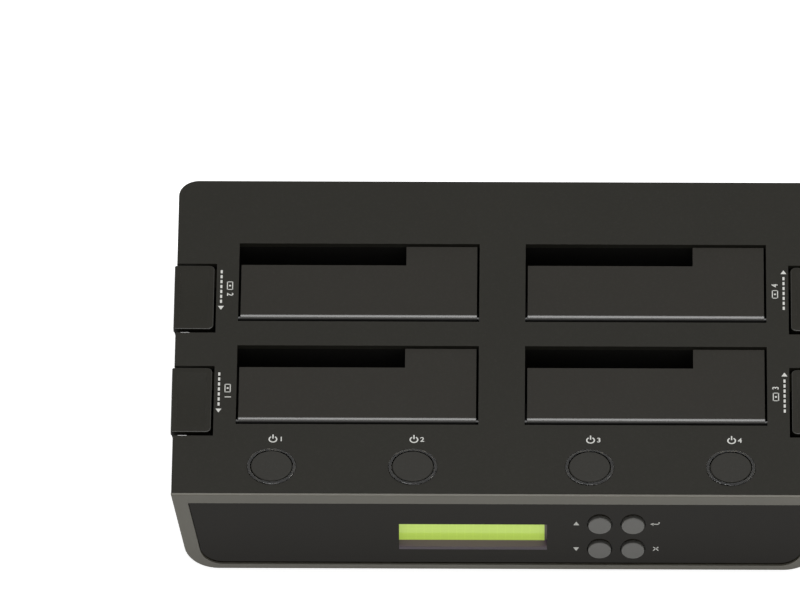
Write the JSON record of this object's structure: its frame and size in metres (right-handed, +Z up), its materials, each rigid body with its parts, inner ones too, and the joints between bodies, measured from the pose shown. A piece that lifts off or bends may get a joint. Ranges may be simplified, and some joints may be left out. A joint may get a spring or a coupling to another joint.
{
  "type": "drive duplicator",
  "caption": "Low box with spring-flap drive bays in its top, eject levers at both sides, power buttons, and a sloped-sided front with a lit display and menu keys.",
  "frame": {"origin": "middle of the footprint, on the surface that the rubber feet stand on", "axes": "+X to the object's right seen from its front, +Y to the back, +Z up"},
  "size_m": [0.2888, 0.1946, 0.051],
  "materials": {
    "cover_plastic": "fine satin texture",
    "hull_plastic": "fine satin texture",
    "bezel_plastic": "smooth satin",
    "panel_gloss": "polished",
    "flap_plastic": "fine satin texture",
    "liner_plastic": "plain moulding",
    "lever_plastic": "fine satin texture",
    "button_plastic": "satin",
    "key_plastic": "satin grey",
    "clear_plastic": "clear moulding",
    "display_frame": "grey moulding",
    "display_glass": "lit yellow-green display",
    "backlight": "diffuser",
    "circuit_board": "green solder mask",
    "switch_body": "black moulding",
    "connector_body": "black moulding",
    "steel": "plain steel",
    "spring_steel": "plain spring wire",
    "screw_steel": "blackened screw",
    "ribbon": "grey flat cable",
    "socket_metal": "tinned shell",
    "socket_plastic": "black moulding",
    "rocker_plastic": "satin black",
    "foot_rubber": "soft rubber"
  },
  "bodies": {
    "chassis": {"top_cover": "cover_plastic", "hull": "hull_plastic", "front_bezel": "bezel_plastic", "control_panel": "panel_gloss", "display_frame": "display_frame", "display_glass": "display_glass", "display_backlight": "backlight", "display_board": "circuit_board", "key_board": "circuit_board", "key_switches": "switch_body", "light_rings": "clear_plastic", "button_board": "circuit_board", "button_switches": "switch_body", "flap_pins": "steel", "flap_springs": "spring_steel", "eject_pins": "steel", "eject_springs": "spring_steel", "sata_connectors": "connector_body", "bay_boards": "circuit_board", "main_board": "circuit_board", "bay_ribbons": "ribbon", "panel_ribbon": "ribbon", "dc_inlet": "socket_plastic", "usb_socket": "socket_metal", "esata_socket": "socket_metal", "rocker_frame": "socket_plastic", "base_screws": "screw_steel", "board_screws": "screw_steel", "rubber_feet": "foot_rubber", "bay_liner_1": "liner_plastic", "bay_liner_2": "liner_plastic", "bay_liner_3": "liner_plastic", "bay_liner_4": "liner_plastic"},
    "bay_flap_1": {"bay_flap_1": "flap_plastic"},
    "eject_lever_1": {"eject_lever_1": "lever_plastic"},
    "bay_flap_2": {"bay_flap_2": "flap_plastic"},
    "eject_lever_2": {"eject_lever_2": "lever_plastic"},
    "bay_flap_3": {"bay_flap_3": "flap_plastic"},
    "eject_lever_3": {"eject_lever_3": "lever_plastic"},
    "bay_flap_4": {"bay_flap_4": "flap_plastic"},
    "eject_lever_4": {"eject_lever_4": "lever_plastic"},
    "power_button_1": {"power_button_1": "button_plastic"},
    "power_button_2": {"power_button_2": "button_plastic"},
    "power_button_3": {"power_button_3": "button_plastic"},
    "power_button_4": {"power_button_4": "button_plastic"},
    "key_up": {"key_up": "key_plastic"},
    "key_enter": {"key_enter": "key_plastic"},
    "key_down": {"key_down": "key_plastic"},
    "key_escape": {"key_escape": "key_plastic"},
    "rocker": {"rocker": "rocker_plastic"}
  },
  "joints": [
    {"name": "bay_flap_1_hinge", "type": "hinge", "parent": "chassis", "child": "bay_flap_1", "pos_m": [-0.0631, -0.04914, 0.0468], "axis": [-1, 0, 0], "range_deg": [0, 72], "stiffness_Nm_per_rad": 0.004, "springref_deg": -85.94},
    {"name": "eject_lever_1_hinge", "type": "hinge", "parent": "chassis", "child": "eject_lever_1", "pos_m": [-0.1216, -0.03954, 0.0405], "axis": [0, -1, 0], "range_deg": [0, 20], "stiffness_Nm_per_rad": 0.02, "springref_deg": -28.65},
    {"name": "bay_flap_2_hinge", "type": "hinge", "parent": "chassis", "child": "bay_flap_2", "pos_m": [-0.0631, 0.01286, 0.0468], "axis": [-1, 0, 0], "range_deg": [0, 72], "stiffness_Nm_per_rad": 0.004, "springref_deg": -85.94},
    {"name": "eject_lever_2_hinge", "type": "hinge", "parent": "chassis", "child": "eject_lever_2", "pos_m": [-0.1216, 0.02246, 0.0405], "axis": [0, -1, 0], "range_deg": [0, 20], "stiffness_Nm_per_rad": 0.02, "springref_deg": -28.65},
    {"name": "bay_flap_3_hinge", "type": "hinge", "parent": "chassis", "child": "bay_flap_3", "pos_m": [0.0631, -0.04914, 0.0468], "axis": [-1, 0, 0], "range_deg": [0, 72], "stiffness_Nm_per_rad": 0.004, "springref_deg": -85.94},
    {"name": "eject_lever_3_hinge", "type": "hinge", "parent": "chassis", "child": "eject_lever_3", "pos_m": [0.1216, -0.03954, 0.0405], "axis": [0, 1, 0], "range_deg": [0, 20], "stiffness_Nm_per_rad": 0.02, "springref_deg": -28.65},
    {"name": "bay_flap_4_hinge", "type": "hinge", "parent": "chassis", "child": "bay_flap_4", "pos_m": [0.0631, 0.01286, 0.0468], "axis": [-1, 0, 0], "range_deg": [0, 72], "stiffness_Nm_per_rad": 0.004, "springref_deg": -85.94},
    {"name": "eject_lever_4_hinge", "type": "hinge", "parent": "chassis", "child": "eject_lever_4", "pos_m": [0.1216, 0.02246, 0.0405], "axis": [0, 1, 0], "range_deg": [0, 20], "stiffness_Nm_per_rad": 0.02, "springref_deg": -28.65},
    {"name": "power_button_1_press", "type": "slide", "parent": "chassis", "child": "power_button_1", "axis": [0, 0, -1], "range_m": [0, 0.0015], "stiffness_N_per_m": 300, "springref_m": -0.001},
    {"name": "power_button_2_press", "type": "slide", "parent": "chassis", "child": "power_button_2", "axis": [0, 0, -1], "range_m": [0, 0.0015], "stiffness_N_per_m": 300, "springref_m": -0.001},
    {"name": "power_button_3_press", "type": "slide", "parent": "chassis", "child": "power_button_3", "axis": [0, 0, -1], "range_m": [0, 0.0015], "stiffness_N_per_m": 300, "springref_m": -0.001},
    {"name": "power_button_4_press", "type": "slide", "parent": "chassis", "child": "power_button_4", "axis": [0, 0, -1], "range_m": [0, 0.0015], "stiffness_N_per_m": 300, "springref_m": -0.001},
    {"name": "key_up_press", "type": "slide", "parent": "chassis", "child": "key_up", "axis": [0, 1, 0], "range_m": [0, 0.001], "stiffness_N_per_m": 300, "springref_m": -0.001},
    {"name": "key_enter_press", "type": "slide", "parent": "chassis", "child": "key_enter", "axis": [0, 1, 0], "range_m": [0, 0.001], "stiffness_N_per_m": 300, "springref_m": -0.001},
    {"name": "key_down_press", "type": "slide", "parent": "chassis", "child": "key_down", "axis": [0, 1, 0], "range_m": [0, 0.001], "stiffness_N_per_m": 300, "springref_m": -0.001},
    {"name": "key_escape_press", "type": "slide", "parent": "chassis", "child": "key_escape", "axis": [0, 1, 0], "range_m": [0, 0.001], "stiffness_N_per_m": 300, "springref_m": -0.001},
    {"name": "rocker_hinge", "type": "hinge", "parent": "chassis", "child": "rocker", "pos_m": [-0.058, 0.08896, 0.0285], "axis": [0, 0, 1], "range_deg": [0, 20]}
  ]
}
